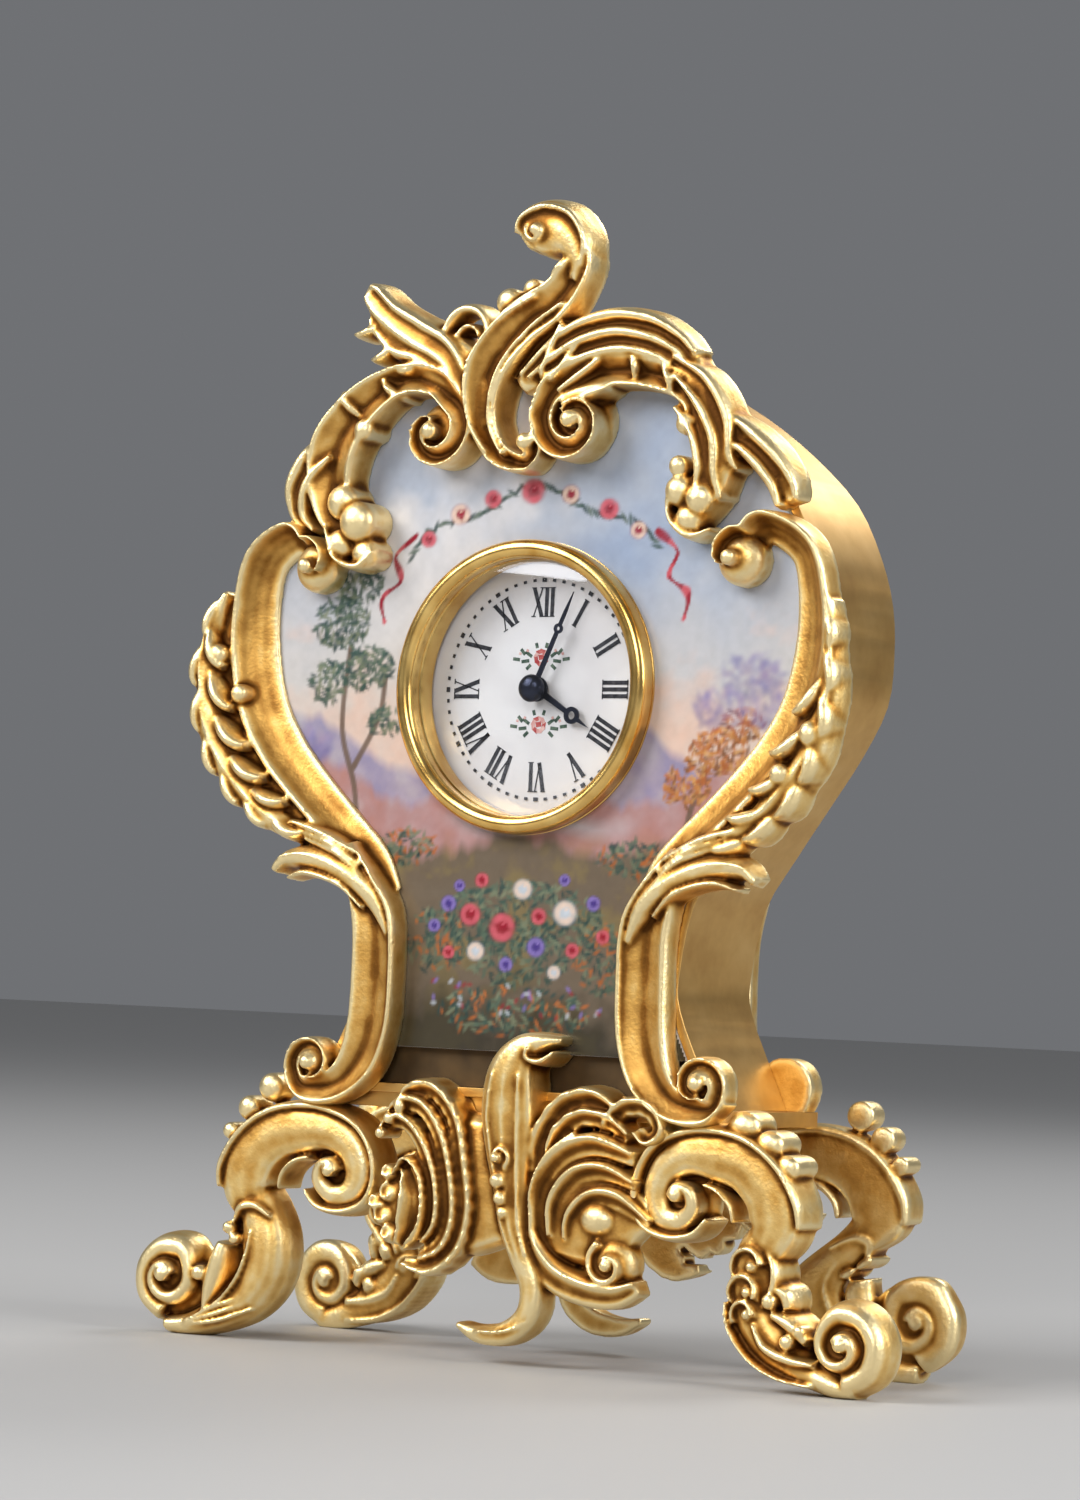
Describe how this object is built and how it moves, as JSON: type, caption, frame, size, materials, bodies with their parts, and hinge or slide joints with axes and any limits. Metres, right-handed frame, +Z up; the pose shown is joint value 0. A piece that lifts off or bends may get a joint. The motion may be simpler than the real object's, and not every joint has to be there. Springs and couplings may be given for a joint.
{
  "type": "miniature clock",
  "caption": "Miniature mantel clock with a gilded scrollwork case on splayed scroll legs, a painted enamel front, a round glazed dial and a key-wound movement behind a rear door.",
  "frame": {"origin": "on the table below the middle of the clock", "axes": "+Z up, +X to the right as seen from the dial, +Y from the dial to the back"},
  "size_m": [0.0878, 0.0293, 0.1136],
  "materials": {
    "gilt_casting": "cast brass, fire gilt and lightly burnished, brown in the hollows",
    "gilt_case": "satin brushed and gilt sheet brass",
    "painted_enamel": "painted and fired enamel on copper, glossy",
    "dial_enamel": "white enamel dial, smooth and glossy",
    "watch_glass": "polished clear glass",
    "blued_steel": "polished and blued steel",
    "polished_steel": "ground and polished steel",
    "movement_brass": "fine grained and gilt brass"
  },
  "bodies": {
    "case": {"base_plate": "gilt_case", "front_apron": "gilt_casting", "rear_apron": "gilt_casting", "leg_front_left": "gilt_casting", "leg_front_right": "gilt_casting", "leg_rear_left": "gilt_casting", "leg_rear_right": "gilt_casting", "case_band": "gilt_case", "front_plate": "gilt_case", "enamel_panel": "painted_enamel", "frame_left": "gilt_casting", "frame_right": "gilt_casting", "crest": "gilt_casting", "back_scroll_left": "gilt_casting", "back_scroll_right": "gilt_casting", "back_plate": "gilt_case", "door_hinge_pin": "blued_steel", "bezel": "gilt_case", "crystal": "watch_glass", "dial": "dial_enamel", "minute_stud": "polished_steel", "movement_ring": "movement_brass", "ring_screws": "blued_steel", "movement_front_plate": "movement_brass", "movement_back_plate": "movement_brass", "pillars": "movement_brass", "plate_screws": "blued_steel", "click_screw": "blued_steel", "hairspring": "blued_steel", "balance_cock": "movement_brass", "cock_screw": "blued_steel", "case_screws": "movement_brass"},
    "minute_hand_body": {"minute_hand": "blued_steel", "cannon_pinion": "polished_steel", "hand_nut": "blued_steel", "setting_arbor": "polished_steel"},
    "hour_hand_body": {"hour_hand": "blued_steel", "hour_wheel": "movement_brass"},
    "minute_wheel_body": {"minute_wheel": "movement_brass"},
    "barrel_body": {"barrel": "movement_brass", "mainspring": "blued_steel"},
    "winding_body": {"barrel_arbor": "polished_steel", "ratchet_wheel": "polished_steel"},
    "click_body": {"click": "polished_steel"},
    "centre_body": {"centre_wheel": "movement_brass"},
    "third_body": {"third_wheel": "movement_brass"},
    "fourth_body": {"fourth_wheel": "movement_brass"},
    "escape_body": {"escape_wheel": "polished_steel"},
    "balance_body": {"balance": "movement_brass"},
    "door_body": {"rear_door": "gilt_case"}
  },
  "joints": [
    {"name": "minute_hand_turn", "type": "hinge", "parent": "case", "child": "minute_hand_body", "pos_m": [0, -0.00735, 0.066], "axis": [0, 1, 0], "continuous": true},
    {"name": "hour_hand_turn", "type": "hinge", "parent": "case", "child": "hour_hand_body", "pos_m": [0, -0.00715, 0.066], "axis": [0, 1, 0], "continuous": true},
    {"name": "minute_wheel_turn", "type": "hinge", "parent": "case", "child": "minute_wheel_body", "pos_m": [-0.00168, -0.00635, 0.06891], "axis": [0, 1, 0], "continuous": true},
    {"name": "fourth_wheel_turn", "type": "hinge", "parent": "case", "child": "fourth_body", "pos_m": [0.00561, -0.00255, 0.06708], "axis": [0, 1, 0], "continuous": true},
    {"name": "third_wheel_turn", "type": "hinge", "parent": "case", "child": "third_body", "pos_m": [0.00374, -0.00445, 0.06384], "axis": [0, 1, 0], "continuous": true},
    {"name": "centre_wheel_turn", "type": "hinge", "parent": "case", "child": "centre_body", "pos_m": [0, -0.00075, 0.066], "axis": [0, 1, 0], "continuous": true},
    {"name": "barrel_turn", "type": "hinge", "parent": "case", "child": "barrel_body", "pos_m": [-0.00513, -0.00265, 0.06413], "axis": [0, 1, 0], "continuous": true},
    {"name": "escape_wheel_turn", "type": "hinge", "parent": "case", "child": "escape_body", "pos_m": [0.00502, -0.00145, 0.07043], "axis": [0, 1, 0], "continuous": true},
    {"name": "winding_turn", "type": "hinge", "parent": "case", "child": "winding_body", "pos_m": [-0.00513, 0.00115, 0.06413], "axis": [0, 1, 0], "continuous": true},
    {"name": "click_lift", "type": "hinge", "parent": "case", "child": "click_body", "pos_m": [-0.00639, 0.0012, 0.06044], "axis": [0, -1, 0], "range_deg": [0, 12], "stiffness_Nm_per_rad": 0.000001, "springref_deg": -22.92},
    {"name": "balance_swing", "type": "hinge", "parent": "case", "child": "balance_body", "pos_m": [0.00264, 0.00135, 0.0718], "axis": [0, 1, 0], "range_deg": [-120, 120], "stiffness_Nm_per_rad": 0.00000028, "deforming": ["hairspring"]},
    {"name": "rear_door_swing", "type": "hinge", "parent": "case", "child": "door_body", "pos_m": [-0.0144, 0.004, 0.066], "axis": [0, 0, 1], "range_deg": [0, 110]}
  ],
  "couplings": [
    {"joint": "hour_hand_turn", "follows": "minute_hand_turn", "ratio": 0.083333},
    {"joint": "minute_wheel_turn", "follows": "minute_hand_turn", "ratio": -0.33333},
    {"joint": "third_wheel_turn", "follows": "fourth_wheel_turn", "ratio": -0.13333},
    {"joint": "centre_wheel_turn", "follows": "fourth_wheel_turn", "ratio": 0.016667},
    {"joint": "barrel_turn", "follows": "fourth_wheel_turn", "ratio": -0.0027778},
    {"joint": "escape_wheel_turn", "follows": "fourth_wheel_turn", "ratio": -7.5}
  ]
}
